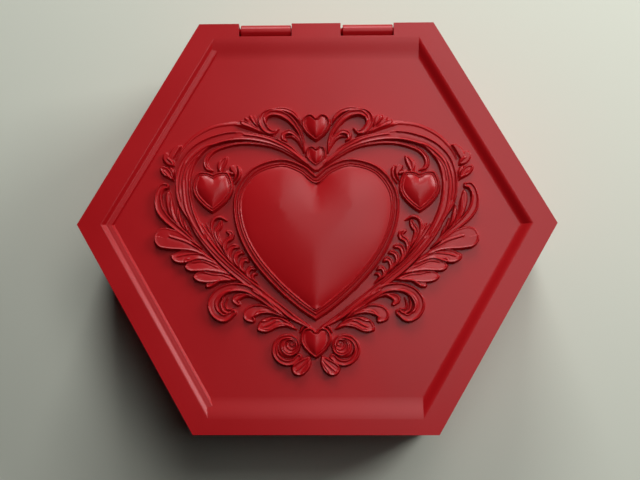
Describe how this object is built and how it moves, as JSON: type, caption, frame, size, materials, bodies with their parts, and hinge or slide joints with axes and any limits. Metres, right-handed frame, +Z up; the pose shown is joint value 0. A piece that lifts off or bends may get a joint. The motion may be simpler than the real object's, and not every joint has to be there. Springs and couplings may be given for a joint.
{
  "type": "storage box",
  "caption": "Hexagonal storage box with a flush hinged lid, whose recessed panel carries a carved relief of a domed heart in a scrolled leaf frame.",
  "frame": {"origin": "middle of the box's underside, which rests on the table", "axes": "+X from corner to corner, to the right when the relief reads upright; +Y towards the hinge, which is at the relief's top; +Z up"},
  "size_m": [0.18, 0.1558, 0.0626],
  "materials": {
    "red_plastic": "satin printed plastic"
  },
  "bodies": {
    "box": {"box_body": "red_plastic"},
    "lid": {"lid": "red_plastic"}
  },
  "joints": [
    {"name": "lid_hinge", "type": "hinge", "parent": "box", "child": "lid", "pos_m": [0, 0.0755, 0.0575], "axis": [-1, 0, 0], "range_deg": [0, 100]}
  ]
}
